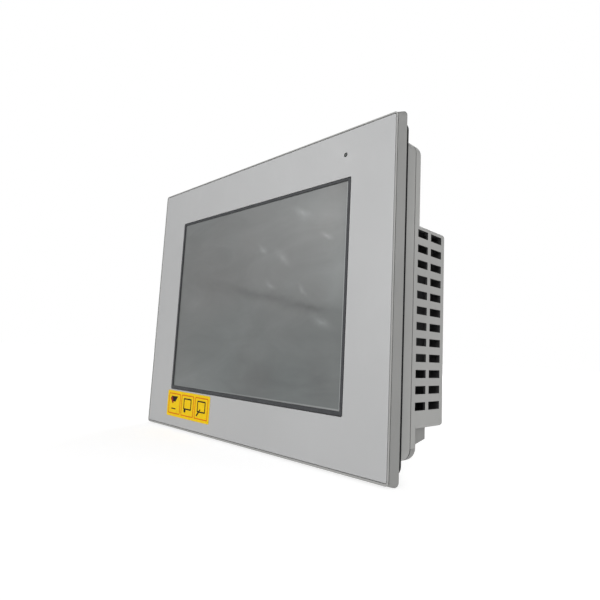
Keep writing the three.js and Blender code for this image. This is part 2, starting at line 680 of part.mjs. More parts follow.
function buildPorts(panel) {
  const ports = section(panel);
  piece(ports, 'power_socket', powerSocket(PORTS.power), FINISH.green);
  piece(ports, 'power_plug', powerPlug(PORTS.power), FINISH.green);
  poleX.forEach((pole, i) => {
    const at = [pole, PORT_DEPTH + 4.3, PLUG.clamp];
    piece(ports, `plug_screw_${i + 1}`, clampScrew(), FINISH.steel, at);
  });
  PORTS.serial.forEach((port, i) => {
    piece(ports, `serial_port_${i + 1}`, serialPort(port), FINISH.steel);
    [-1, 1].forEach((side, j) => {
      const at = [port.x + side * 12.5, PORT_DEPTH, BOX_BOTTOM - GAP - 0.1];
      piece(ports, `serial_post_${2 * i + j + 1}`, jackPost(), FINISH.steel, at);
    });
  });
  piece(ports, 'network_port', networkPort(PORTS.network), FINISH.steel);
  piece(ports, 'usb_host_port', usbHostPort(PORTS.usbHost), FINISH.steel);
  piece(ports, 'usb_host_tongue', usbTongue(PORTS.usbHost), FINISH.black);
  piece(ports, 'usb_device_port', usbDevicePort(PORTS.usbDevice), FINISH.steel);
}

// ---- boards --------------------------------------------------------------------------

function heatSink(x, z, y) {
  const base = block(about(x, 30), [y, y + 1.8], about(z, 26));
  const fins = [];
  for (let i = 0; i < 7; i += 1) {
    fins.push(block(about(x - 13.5 + 4.5 * i, 1.2), [y + 1.7, y + 7], about(z, 26)));
  }
  return union([base, ...fins]);
}

function boardPart(x, z, width, height, thickness) {
  const y = BOARD_REAR + 0.15;
  return block(about(x, width), [y, y + thickness], about(z, height));
}

function buildBoards(panel) {
  const boards = section(panel);
  const boardY = [BOARD_DEPTH, BOARD_REAR];
  piece(boards, 'main_board', plate(rounded([-52, 96], [-58, 32], 1), boardY), FINISH.board);
  piece(boards, 'power_board', plate(rounded([-96, -54], [-58, 32], 1), boardY), FINISH.board);
  piece(boards, 'processor', boardPart(-26, -32, 23, 23, 1.4), FINISH.chip);
  piece(boards, 'heat_sink', heatSink(-26, -32, BOARD_REAR + 1.8), FINISH.aluminium);
  piece(boards, 'memory_chip', boardPart(6, -32, 18, 10, 1.1), FINISH.chip);
  piece(boards, 'power_transformer', boardPart(-76, 18, 22, 18, 14), FINISH.amber);
  [-88, -64].forEach((x, i) => {
    const can = rod('y', [x, BOARD_REAR + 7.2, -10], 5, 14, 24);
    piece(boards, `power_capacitor_${i + 1}`, can, FINISH.chip);
  });
  piece(boards, 'backup_cell', rod('y', [26, BOARD_REAR + 2.1, -32], 8, 3.2, 28), FINISH.steel);
  piece(boards, 'sounder', rod('y', [30, BOARD_REAR + 2.1, 14], 5, 3.8, 24), FINISH.black);
}

// ---- assembly ------------------------------------------------------------------------

const panel = new THREE.Group();
buildFront(panel);
buildDisplay(panel);
buildRear(panel);
buildCardBay(panel);
buildExpansion(panel);
buildPorts(panel);
buildBoards(panel);
panel.position.y = -GASKET.depth;

export default panel;
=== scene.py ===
"""Looks of the panel-mounted touch display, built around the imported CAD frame.

Metres, +X to the operator's right, +Y into the panel, +Z up.
"""
import math

import bmesh
import bpy
from mathutils import Matrix, Vector, noise

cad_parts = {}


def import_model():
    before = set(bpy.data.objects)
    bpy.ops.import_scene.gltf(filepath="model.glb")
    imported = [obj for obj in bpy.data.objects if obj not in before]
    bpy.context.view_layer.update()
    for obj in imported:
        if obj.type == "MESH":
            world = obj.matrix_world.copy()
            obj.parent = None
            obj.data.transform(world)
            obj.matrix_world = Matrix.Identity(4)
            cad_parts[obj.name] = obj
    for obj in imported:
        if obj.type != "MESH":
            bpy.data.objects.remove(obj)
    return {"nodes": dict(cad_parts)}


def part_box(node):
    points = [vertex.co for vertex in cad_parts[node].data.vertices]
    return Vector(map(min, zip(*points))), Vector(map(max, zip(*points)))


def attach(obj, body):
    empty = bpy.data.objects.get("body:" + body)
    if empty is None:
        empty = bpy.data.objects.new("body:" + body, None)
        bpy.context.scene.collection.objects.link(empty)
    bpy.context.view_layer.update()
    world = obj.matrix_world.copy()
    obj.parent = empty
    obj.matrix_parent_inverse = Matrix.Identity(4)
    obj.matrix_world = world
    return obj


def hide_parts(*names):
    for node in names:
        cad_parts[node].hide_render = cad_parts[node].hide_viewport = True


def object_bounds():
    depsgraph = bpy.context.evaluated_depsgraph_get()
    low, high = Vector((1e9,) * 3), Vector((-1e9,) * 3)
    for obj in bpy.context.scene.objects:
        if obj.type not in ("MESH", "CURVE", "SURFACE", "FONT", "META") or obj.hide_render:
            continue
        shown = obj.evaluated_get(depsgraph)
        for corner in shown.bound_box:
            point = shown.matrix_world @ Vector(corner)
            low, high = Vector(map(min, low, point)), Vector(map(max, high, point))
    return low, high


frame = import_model()
cad_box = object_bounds()
nodes = frame["nodes"]

MM = 0.001
HOUSING = "housing"
FLOOR_Z = cad_box[0].z  # the part stands on its flange's lower edge


# ---- node-tree helpers ----------------------------------------------------------------

class Shader:
    """A material's node tree with short calls for the nodes used here."""

    def __init__(self, name, colour, roughness, **sockets):
        self.material = bpy.data.materials.new(name)
        self.material.use_nodes = True
        self.tree = self.material.node_tree
        self.surface = self.tree.nodes["Principled BSDF"]
        self.set(self.surface, "Base Color", (*colour, 1.0))
        self.set(self.surface, "Roughness", roughness)
        for socket, value in sockets.items():
            self.set(self.surface, socket.replace("_", " "), value)
        self.place = self.node("ShaderNodeTexCoord").outputs["Object"]
        self.normal = None

    def node(self, kind, **settings):
        made = self.tree.nodes.new(kind)
        for key, value in settings.items():
            setattr(made, key, value)
        return made

    def set(self, node, socket, value):
        if isinstance(value, bpy.types.NodeSocket):
            self.tree.links.new(value, node.inputs[socket])
        else:
            node.inputs[socket].default_value = value

    def stretched(self, scale):
        """The object's own coordinates, scaled apart along each axis."""
        mapping = self.node("ShaderNodeMapping")
        self.set(mapping, "Vector", self.place)
        self.set(mapping, "Scale", scale)
        return mapping.outputs["Vector"]

    def noise(self, size, detail=3.0, rough=0.5, distortion=0.0, place=None):
        """Noise whose blobs are about `size` metres across."""
        made = self.node("ShaderNodeTexNoise")
        self.set(made, "Vector", place or self.place)
        self.set(made, "Scale", 1.0 / size)
        self.set(made, "Detail", detail)
        self.set(made, "Roughness", rough)
        self.set(made, "Distortion", distortion)
        return made.outputs["Fac"]

    def cells(self, size, place=None):
        made = self.node("ShaderNodeTexVoronoi")
        self.set(made, "Vector", place or self.place)
        self.set(made, "Scale", 1.0 / size)
        return made.outputs["Distance"]

    def remap(self, value, low, high, to_low, to_high):
        made = self.node("ShaderNodeMapRange")
        self.set(made, "Value", value)
        for socket, number in zip(
                ("From Min", "From Max", "To Min", "To Max"), (low, high, to_low, to_high)):
            self.set(made, socket, number)
        return made.outputs["Result"]

    def mix(self, factor, first, second, blend="MIX"):
        made = self.node("ShaderNodeMix", data_type="RGBA", blend_type=blend)
        self.set(made, 0, factor)
        for index, value in ((6, first), (7, second)):
            if isinstance(value, tuple):
                value = (*value, 1.0)
            self.set(made, index, value)
        return made.outputs[2]

    def math(self, operation, first, second=0.0):
        made = self.node("ShaderNodeMath", operation=operation)
        self.set(made, 0, first)
        self.set(made, 1, second)
        return made.outputs[0]

    def bump(self, height, strength, depth):
        made = self.node("ShaderNodeBump")
        self.set(made, "Height", height)
        self.set(made, "Strength", strength)
        self.set(made, "Distance", depth)
        if self.normal is not None:
            self.set(made, "Normal", self.normal)
        self.normal = made.outputs["Normal"]
        self.set(self.surface, "Normal", self.normal)

    def edge_mask(self, radius):
        """1 within about `radius` of a convex or concave edge, 0 elsewhere."""
        rounded = self.node("ShaderNodeBevel", samples=4)
        self.set(rounded, "Radius", radius)
        flat = self.node("ShaderNodeNewGeometry").outputs["Normal"]
        dot = self.node("ShaderNodeVectorMath", operation="DOT_PRODUCT")
        self.set(dot, 0, rounded.outputs["Normal"])
        self.set(dot, 1, flat)
        return self.remap(dot.outputs["Value"], 0.995, 0.9, 0.0, 1.0)

    def colour(self, value):
        self.set(self.surface, "Base Color", value)

    def roughness(self, value):
        self.set(self.surface, "Roughness", value)


def shade(colour, factor):
    return tuple(min(1.0, channel * factor) for channel in colour)


# ---- materials ------------------------------------------------------------------------

def moulded_plastic(name, colour, roughness=0.55, grain=0.35 * MM, wear=0.25 * MM, relief=0.5):
    """Spark-eroded moulding: fine grain, faint flow clouding, and paler edges that are partly
    rubbed wear and partly a painted highlight.
    """
    s = Shader(name, colour, roughness, IOR=1.46)
    cloud = s.noise(45 * MM, 4.0, 0.55)
    dust = s.noise(3.5 * MM, 5.0, 0.65)
    tone = s.mix(s.remap(cloud, 0.3, 0.7, 0, 1), shade(colour, 0.95), shade(colour, 1.04))
    tone = s.mix(s.remap(dust, 0.62, 0.8, 0, 0.25), tone, shade(colour, 0.82))
    # Paler edges: partly rubbed wear and partly a painted highlight.
    edges = s.edge_mask(wear)
    rubbed_and_highlit = s.math("MULTIPLY", edges, s.remap(s.noise(6 * MM, 4.0), 0.42, 0.68, 0.05, 0.55))
    s.colour(s.mix(rubbed_and_highlit, tone, shade(colour, 1.22)))
    fine = s.noise(grain, 3.0, 0.6)
    s.roughness(s.remap(s.math("ADD", fine, dust), 0.7, 1.3, roughness - 0.08, roughness + 0.1))
    s.bump(fine, relief, 0.03 * MM)
    s.bump(s.noise(1.6 * MM, 2.0), 0.12, 0.06 * MM)
    return s.material


def front_film_finish():
    """Screen-printed polyester film: a fine matt hard coat with faint handling marks, and a
    painted highlight along its edges.
    """
    colour = (0.42, 0.423, 0.425)
    s = Shader("front_film_print", colour, 0.42, IOR=1.5, Coat_Weight=0.12, Coat_Roughness=0.28)
    cloud = s.noise(70 * MM, 3.0, 0.5)
    smear = s.noise(16 * MM, 5.0, 0.6, 0.8, s.stretched((1.0, 1.0, 0.45)))
    tone = s.mix(s.remap(cloud, 0.3, 0.7, 0, 1), shade(colour, 0.97), shade(colour, 1.02))
    tone = s.mix(s.remap(smear, 0.55, 0.8, 0, 0.3), tone, shade(colour, 1.09))
    # Painted highlight: the film is paler along its edges.
    s.colour(s.mix(s.edge_mask(0.35 * MM), tone, shade(colour, 1.3)))
    s.roughness(s.remap(smear, 0.3, 0.75, 0.5, 0.36))
    s.bump(s.noise(0.22 * MM, 2.0, 0.6), 0.25, 0.012 * MM)
    s.bump(s.noise(28 * MM, 2.0), 0.12, 0.5 * MM)
    return s.material


# Painted reflections (lighter) and painted shade (darker) on the screen: x, z, half length, half
# width (mm), tilt (degrees down to the right) and how much lighter or darker the surface is
# there.
SCREEN_PAINTED_REFLECTIONS = (
    (62, 42, 44, 30, 15, 0.3), (72, 14, 26, 38, 0, 0.22), (44, 46, 14, 4, 28, 0.42),
    (63.5, 31, 7, 2.6, 21, 0.5), (12.7, 29.7, 7, 3, 34, 0.4), (30, 23, 13, 4.5, 31, 0.36),
    (21.7, 7.7, 9, 3, 29, 0.35), (46.6, 3.4, 7, 2.4, 46, 0.3), (61.7, -14, 13, 4, 19, 0.45),
    (-58, 0, 40, 22, 10, 0.16), (10, 2, 92, 7, 10.5, -0.2), (52, -6.5, 40, 5, 9, -0.24),
    (20, -50, 75, 30, 0, -0.2), (62, -44, 30, 26, 12, -0.14),
)


def screen_finish():
    """Matt touch surface over a display that is switched off, with painted reflections and
    painted shade in its colour, and a painted highlight along its right and lower edges.
    """
    colour = (0.134, 0.137, 0.135)
    s = Shader("touch_surface_glare", colour, 0.32, IOR=1.5, Coat_Weight=0.4, Coat_Roughness=0.22)
    wander = s.node("ShaderNodeTexNoise")
    s.set(wander, "Vector", s.place)
    s.set(wander, "Scale", 95.0)
    s.set(wander, "Detail", 3.0)
    shift = s.node("ShaderNodeVectorMath", operation="MULTIPLY_ADD")
    s.set(shift, 0, wander.outputs["Color"])
    s.set(shift, 1, (6 * MM, 0.0, 6 * MM))
    s.set(shift, 2, s.place)
    cloud = s.noise(30 * MM, 5.0, 0.6, 1.0, s.stretched((0.6, 1.0, 1.6)))
    level = s.remap(cloud, 0.3, 0.7, 0.9, 1.12)
    # Each entry adds a painted reflection where its amount is positive and painted shade where it
    # is negative.
    for x, z, length, width, tilt, amount in SCREEN_PAINTED_REFLECTIONS:
        there = s.node("ShaderNodeMapping", vector_type="TEXTURE")
        s.set(there, "Vector", shift.outputs["Vector"])
        s.set(there, "Location", ((x + 3) * MM, 0.0, (z + 3) * MM))
        s.set(there, "Rotation", (0.0, math.radians(tilt), 0.0))
        s.set(there, "Scale", (length * MM, 10.0, width * MM))
        spot = s.node("ShaderNodeTexGradient", gradient_type="QUADRATIC_SPHERE")
        s.set(spot, "Vector", there.outputs["Vector"])
        level = s.math("ADD", level, s.math("MULTIPLY", spot.outputs["Fac"], 1.35 * amount))
    split = s.node("ShaderNodeSeparateXYZ")
    s.set(split, 0, s.place)
    low = s.remap(split.outputs["Z"], 0.0, -55 * MM, 0, 0.6)
    tint = s.math("ADD", low, s.remap(s.noise(50 * MM, 3.0), 0.35, 0.65, 0, 0.4))
    tone = s.mix(tint, colour, (0.122, 0.138, 0.137))
    tone = s.mix(1.0, tone, level, "MULTIPLY")
    # Painted highlight: a pale line along the screen's right and lower edges, the lower one
    # fading towards the left.
    right_edge_highlight = s.remap(split.outputs["X"], 75.5 * MM, 75.8 * MM, 0, 1)
    lower_edge_highlight = s.remap(split.outputs["Z"], -55.7 * MM, -56.0 * MM, 0, 1)
    highlight_fade = s.remap(split.outputs["X"], -60 * MM, 70 * MM, 0.1, 0.8)
    edge = s.math("MAXIMUM", right_edge_highlight, s.math("MULTIPLY", lower_edge_highlight, highlight_fade))
    s.colour(s.mix(edge, tone, (0.3, 0.31, 0.31)))
    s.roughness(s.remap(s.noise(12 * MM, 5.0), 0.3, 0.7, 0.38, 0.28))
    s.bump(s.noise(0.16 * MM, 2.0, 0.6), 0.2, 0.01 * MM)
    return s.material


def satin_plastic(name, colour, roughness=0.45, relief=0.25):
    s = Shader(name, colour, roughness, IOR=1.5)
    cloud = s.noise(9 * MM, 4.0, 0.6)
    s.colour(s.mix(s.remap(cloud, 0.3, 0.7, 0, 1), shade(colour, 0.86), shade(colour, 1.15)))
    s.roughness(s.remap(s.noise(1.2 * MM, 4.0), 0.3, 0.7, roughness - 0.1, roughness + 0.12))
    s.bump(s.noise(0.3 * MM, 3.0), relief, 0.02 * MM)
    return s.material


def rim_finish():
    """Black border with a satin face of uneven tone, and painted shade darkening it along its
    edges.
    """
    s = Shader("window_rim_ink", (0.035, 0.036, 0.038), 0.4, IOR=1.5, Specular_IOR_Level=0.3)
    wear = s.remap(s.noise(5 * MM, 4.0), 0.3, 0.7, 0, 1)
    face = s.mix(wear, (0.034, 0.036, 0.039), (0.052, 0.054, 0.058))
    # Painted shade: the border is darker along its edges.
    s.colour(s.mix(s.edge_mask(0.6 * MM), face, (0.014, 0.014, 0.015)))
    s.roughness(s.remap(s.noise(2 * MM, 4.0), 0.3, 0.7, 0.36, 0.52))
    s.bump(s.noise(0.25 * MM, 3.0), 0.2, 0.015 * MM)
    return s.material


def rubber_finish():
    colour = (0.006, 0.006, 0.0065)
    s = Shader("gasket_foam", colour, 0.85, IOR=1.4, Specular_IOR_Level=0.2)
    bloom = s.noise(5 * MM, 5.0, 0.65)
    s.colour(s.mix(s.remap(bloom, 0.45, 0.8, 0, 1), colour, (0.02, 0.02, 0.021)))
    s.roughness(s.remap(bloom, 0.3, 0.7, 0.75, 0.95))
    s.bump(s.cells(0.35 * MM), 0.6, 0.05 * MM)
    return s.material


def plated_metal(name, colour, roughness=0.3, lay=(1.0, 1.0, 30.0)):
    """Plated sheet metal with a drawn lay, small scratches and dull patches."""
    s = Shader(name, colour, roughness, Metallic=1.0)
    drawn = s.noise(2.5 * MM, 4.0, 0.6, 0.0, s.stretched(lay))
    dull = s.noise(4 * MM, 5.0, 0.6)
    s.colour(s.mix(s.remap(dull, 0.4, 0.75, 0, 1), colour, shade(colour, 0.78)))
    s.roughness(s.remap(s.math("ADD", drawn, dull), 0.7, 1.3, roughness - 0.08, roughness + 0.18))
    s.bump(drawn, 0.2, 0.02 * MM)
    return s.material


def circuit_board():
    """Solder mask with copper runs that show through as lighter lines, and speckled pads."""
    s = Shader("solder_mask", (0.012, 0.09, 0.035), 0.35, IOR=1.5)
    runs = s.node("ShaderNodeTexBrick", offset=0.35, squash=0.7)
    s.set(runs, "Vector", s.stretched((1.0, 1.0, 1.0)))
    for socket, value in (("Scale", 260.0), ("Mortar Size", 0.03), ("Brick Width", 2.4)):
        s.set(runs, socket, value)
    s.set(runs, "Color1", (0.012, 0.09, 0.035, 1.0))
    s.set(runs, "Color2", (0.016, 0.115, 0.045, 1.0))
    s.set(runs, "Mortar", (0.03, 0.19, 0.08, 1.0))
    pads = s.remap(s.cells(1.9 * MM), 0.12, 0.16, 1, 0)
    s.colour(s.mix(pads, runs.outputs["Color"], (0.55, 0.53, 0.45)))
    s.roughness(s.remap(s.noise(3 * MM), 0.3, 0.7, 0.28, 0.45))
    s.bump(runs.outputs["Fac"], 0.3, 0.05 * MM)
    return s.material


def printed_film(name, colour, roughness=0.5, gloss=0.5):
    """Printed label stock: faint mottling in the ink and a slight orange-peel gloss."""
    s = Shader(name, colour, roughness, IOR=1.5, Specular_IOR_Level=gloss)
    mottle = s.noise(1.4 * MM, 5.0, 0.65)
    s.colour(s.mix(s.remap(mottle, 0.35, 0.7, 0, 1), shade(colour, 0.9), shade(colour, 1.06)))
    s.roughness(s.remap(mottle, 0.3, 0.7, roughness - 0.06, roughness + 0.1))
    s.bump(s.noise(0.8 * MM, 3.0), 0.15, 0.02 * MM)
    return s.material


CASE_GREY = (0.318, 0.318, 0.31)

LOOKS = {
    "case": moulded_plastic("case_moulding", CASE_GREY, 0.5),
    "cover": moulded_plastic("cover_moulding", shade(CASE_GREY, 1.05), 0.55, 0.5 * MM),
    # Painted shade: a darker copy of the case grey for the bezel sides and the guards under the
    # box.
    "shaded_case": moulded_plastic("case_moulding_painted_shade", shade(CASE_GREY, 0.72), 0.5),
    "film": front_film_finish(),
    "screen": screen_finish(),
    "rim": rim_finish(),
    "rubber": rubber_finish(),
    "yellow": printed_film("label_yellow_ink", (0.84, 0.56, 0.004), 0.6, 0.12),
    "orange": printed_film("label_orange_ink", (0.68, 0.17, 0.004), 0.6, 0.12),
    "dark_ink": printed_film("label_dark_ink", (0.012, 0.01, 0.008), 0.6, 0.12),
    "red_ink": printed_film("label_red_ink", (0.28, 0.02, 0.012), 0.6, 0.12),
    "silver": printed_film("rating_label_foil", (0.62, 0.63, 0.62), 0.4),
    "lens": satin_plastic("lamp_lens", (0.045, 0.05, 0.046), 0.18, 0.05),
    "steel": plated_metal("plated_steel", (0.62, 0.63, 0.64)),
    "gold": plated_metal("contact_gold", (0.83, 0.6, 0.25), 0.25),
    "aluminium": plated_metal("heat_sink_aluminium", (0.7, 0.71, 0.72), 0.35, (30.0, 1.0, 1.0)),
    "board": circuit_board(),
    # Painted shade: a near-black coat for the case's inside and the vents' walls, standing for
    # the shade there.
    "recess_shade": satin_plastic("painted_recess_shade", (0.02, 0.02, 0.021), 0.7, 0.4),
    "black": satin_plastic("black_plastic", (0.022, 0.022, 0.023), 0.45),
    "white": satin_plastic("white_plastic", (0.74, 0.74, 0.71), 0.4),
    "green": satin_plastic("terminal_green", (0.03, 0.2, 0.07), 0.42),
    "amber": satin_plastic("polyimide_film", (0.5, 0.24, 0.04), 0.3),
    "glass": satin_plastic("display_glass", (0.03, 0.032, 0.034), 0.12, 0.03),
}

NODE_LOOKS = {
    "case": ("front_case",),
    "cover": ("rear_cover", "card_door", "expansion_cover"),
    "film": ("front_film",),
    "screen": ("touch_panel",),
    "rim": ("window_rim",),
    # lip_seal and case_seal are black strips in the groove behind the front lip and in the case
    # seam: painted shade standing for the shadow in those gaps.
    "rubber": ("installation_gasket", "lip_seal", "case_seal"),
    "yellow": ("front_label",),
    "silver": ("rating_label",),
    "lens": ("status_lamp",),
    "glass": ("display_glass",),
    "white": ("backlight_unit", "switch_lever_"),
    "steel": ("display_frame", "chassis_plate", "case_screw_", "card_socket", "plug_screw_",
              "serial_port_", "serial_post_", "network_port", "usb_host_port",
              "usb_device_port", "backup_cell"),
    "aluminium": ("heat_sink",),
    "board": ("main_board", "power_board"),
    "black": ("memory_card", "switch_block", "expansion_connector", "usb_host_tongue",
              "processor", "memory_chip", "power_capacitor_", "sounder"),
    "green": ("power_socket", "power_plug"),
    "amber": ("display_cable", "touch_cable", "power_transformer"),
}


def look_of(node):
    for look, prefixes in NODE_LOOKS.items():
        if node.startswith(prefixes):
            return LOOKS[look]
    raise ValueError(node)


# ---- edge finishing of the CAD nodes ---------------------------------------------------

def smooth_by_angle(limit):
    """A modifier that shades smooth and keeps edges sharper than the limit crisp."""
    group = bpy.data.node_groups.new("smooth_by_angle", "GeometryNodeTree")
    group.interface.new_socket("Geometry", in_out="INPUT", socket_type="NodeSocketGeometry")
    group.interface.new_socket("Geometry", in_out="OUTPUT", socket_type="NodeSocketGeometry")
    start = group.nodes.new("NodeGroupInput")
    end = group.nodes.new("NodeGroupOutput")
    angle = group.nodes.new("GeometryNodeInputMeshEdgeAngle")
    sharp = group.nodes.new("FunctionNodeCompare")
    sharp.data_type = "FLOAT"
    sharp.operation = "GREATER_THAN"
    sharp.inputs[1].default_value = limit
    store = group.nodes.new("GeometryNodeStoreNamedAttribute")
    store.data_type = "BOOLEAN"
    store.domain = "EDGE"
    store.inputs["Name"].default_value = "sharp_edge"
    smooth = group.nodes.new("GeometryNodeSetShadeSmooth")
    link = group.links.new
    link(angle.outputs["Unsigned Angle"], sharp.inputs[0])
    link(start.outputs[0], smooth.inputs["Geometry"])
    link(smooth.outputs[0], store.inputs["Geometry"])
    link(sharp.outputs[0], store.inputs["Value"])
    link(store.outputs[0], end.inputs[0])
    return group


SMOOTHING = smooth_by_angle(math.radians(32))

EDGE_WIDTH = {
    "front_case": 0.16, "rear_cover": 0.2, "front_film": 0.12, "window_rim": 0.12,
    "installation_gasket": 0.2, "card_door": 0.25, "expansion_cover": 0.25,
    "power_plug": 0.3, "power_socket": 0.2, "front_label": 0.03, "rating_label": 0.03,
}
SMALL_EDGE = 0.12


def finish_edges(node, obj):
    mesh = obj.data
    for name in ("custom_normal", "sharp_face"):
        if name in mesh.attributes:
            mesh.attributes.remove(mesh.attributes[name])
    for polygon in mesh.polygons:
        polygon.use_smooth = True
    weld = obj.modifiers.new("weld", "WELD")
    weld.merge_threshold = 0.002 * MM
    flat = obj.modifiers.new("join_flat_faces", "DECIMATE")
    flat.decimate_type = "DISSOLVE"
    flat.angle_limit = math.radians(0.6)
    bevel = obj.modifiers.new("round_edges", "BEVEL")
    bevel.width = EDGE_WIDTH.get(node, SMALL_EDGE) * MM
    bevel.segments = 3 if node in EDGE_WIDTH else 2
    bevel.limit_method = "ANGLE"
    bevel.angle_limit = math.radians(32)
    smooth_flats(obj)


def smooth_flats(obj):
    smooth = obj.modifiers.new("smooth_by_angle", "NODES")
    smooth.node_group = SMOOTHING
    weighted = obj.modifiers.new("keep_flats_flat", "WEIGHTED_NORMAL")
    weighted.keep_sharp = True
    weighted.weight = 100


# Regions of the two case halves, in mm. The vents' side wall lies between VENT_INNER and
# VENT_OUTER across, and the guards hang below GUARD_TOP.
INSIDE_X = 99.7
TIER_INSIDE_Z, TIER_INSIDE_Y = 76, (-4.3, 18)
BOX_INSIDE_Z, BOX_INSIDE_Y = (-61.1, 33.9), (17, 42.7)
VENT_INNER, VENT_OUTER = 99, 101.7
VENT_Z, VENT_Y = (-56, 33.9), (17, 41.5)
FLANGE_BACK_Y, FLANGE_X, FLANGE_Z = -2.9, 102, 82
GUARD_TOP = -64.2


def between(value, span):
    return span[0] < value < span[1]


def paint_case(node, obj):
    """Painted shade: a near-black coat inside the case and on the vents' walls, and a darker copy
    of the case grey on the bezel sides and the guards.
    """
    mesh = obj.data
    mesh.materials.append(LOOKS["recess_shade"])
    mesh.materials.append(LOOKS["shaded_case"])
    for polygon in mesh.polygons:
        x, y, z = polygon.center / MM
        in_tier = abs(z) < TIER_INSIDE_Z and between(y, TIER_INSIDE_Y)
        in_box = between(z, BOX_INSIDE_Z) and between(y, BOX_INSIDE_Y)
        inside = abs(x) < INSIDE_X and (in_tier or in_box)
        across = VENT_INNER < abs(x) < VENT_OUTER and abs(polygon.normal.x) < 0.5
        vent_edge = across and between(y, VENT_Y) and between(z, VENT_Z)
        beside = abs(x) > FLANGE_X or abs(z) > FLANGE_Z
        # Painted shade: inside faces and the vents' walls take the near-black coat.
        if inside or vent_edge:
            polygon.material_index = 1
        # Painted shade: the bezel sides and the guards below GUARD_TOP get the darker copy of the
        # case grey.
        elif node == "front_case" and y < FLANGE_BACK_Y and abs(polygon.normal.y) < 0.7:
            if beside:
                polygon.material_index = 2
        elif node == "rear_cover" and z < GUARD_TOP:
            polygon.material_index = 2


def dress(node, obj):
    obj.data.materials.clear()
    obj.data.materials.append(look_of(node))
    if node in ("front_case", "rear_cover"):
        paint_case(node, obj)
    finish_edges(node, obj)


# ---- new pieces -----------------------------------------------------------------------

def piece(name, build, look, smooth=True):
    """A mesh built by `build(bm)`, riding on the housing."""
    bm = bmesh.new()
    build(bm)
    bmesh.ops.recalc_face_normals(bm, faces=bm.faces)
    mesh = bpy.data.meshes.new(name)
    bm.to_mesh(mesh)
    bm.free()
    for polygon in mesh.polygons:
        polygon.use_smooth = smooth
    obj = bpy.data.objects.new(name, mesh)
    bpy.context.scene.collection.objects.link(obj)
    mesh.materials.append(LOOKS[look])
    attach(obj, HOUSING)
    return obj


def loop_points(x0, x1, z0, z1, corner, steps=6):
    """The outline of a rounded rectangle in X and Z, anticlockwise seen from the front."""
    centres = ((x1 - corner, z1 - corner, 0), (x0 + corner, z1 - corner, 90),
               (x0 + corner, z0 + corner, 180), (x1 - corner, z0 + corner, 270))
    points = []
    for cx, cz, start in centres:
        for i in range(steps + 1):
            turn = math.radians(start + 90 * i / steps)
            points.append((cx + corner * math.cos(turn), cz + corner * math.sin(turn)))
    return points


def slab(bm, outline, front, back):
    """A closed flat piece: the outline at the depth `front`, joined to the one at `back`."""
    rings = [[bm.verts.new((x, y, z)) for x, z in outline] for y in (front, back)]
    count = len(outline)
    for i in range(count):
        j = (i + 1) % count
        bm.faces.new((rings[0][i], rings[0][j], rings[1][j], rings[1][i]))
    bm.faces.new(rings[0])
    bm.faces.new(list(reversed(rings[1])))


def ring_slab(bm, outer, inner, front, back):
    """As slab, with a hole: outer and inner outlines have the same number of points."""
    layers = [[[bm.verts.new((x, y, z)) for x, z in outline] for outline in (outer, inner)]
              for y in (front, back)]
    count = len(outer)
    (fo, fi), (bo, bi) = layers
    for i in range(count):
        j = (i + 1) % count
        for a, b in ((fo, fi), (fi, bi), (bi, bo), (bo, fo)):
            bm.faces.new((a[i], a[j], b[j], b[i]))


def touch_surface():
    """The touch panel with the slight ripples of the film that covers it."""
    low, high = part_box("touch_panel")
    columns, rows = 110, 86

    def ripple(x, z):
        edge = min(x - low.x, high.x - x, z - low.z, high.z - z) / (12 * MM)
        fade = max(0.0, min(1.0, edge))
        here = Vector((x * 34.0, z * 46.0, 3.7))
        broad = noise.noise(here)
        fine = noise.noise(here * 2.7 + Vector((5.2, 1.3, 0.4)))
        return fade * (broad * 0.055 + fine * 0.014) * MM

    def build(bm):
        grid = []
        for j in range(rows + 1):
            z = low.z + (high.z - low.z) * j / rows
            row = []
            for i in range(columns + 1):
                x = low.x + (high.x - low.x) * i / columns
                row.append(bm.verts.new((x, low.y + 0.08 * MM + ripple(x, z), z)))
            grid.append(row)
        for j in range(rows):
            for i in range(columns):
                bm.faces.new((grid[j][i], grid[j][i + 1], grid[j + 1][i + 1], grid[j + 1][i]))
        rim = [e for e in bm.edges if e.is_boundary]
        back = bmesh.ops.extrude_edge_only(bm, edges=rim)["geom"]
        for vert in back:
            if isinstance(vert, bmesh.types.BMVert):
                vert.co.y = high.y
        bmesh.ops.holes_fill(bm, edges=[e for e in bm.edges if e.is_boundary])

    obj = piece("touch_surface", build, "screen")
    smooth = obj.modifiers.new("smooth_by_angle", "NODES")
    smooth.node_group = SMOOTHING
    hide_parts("touch_panel")


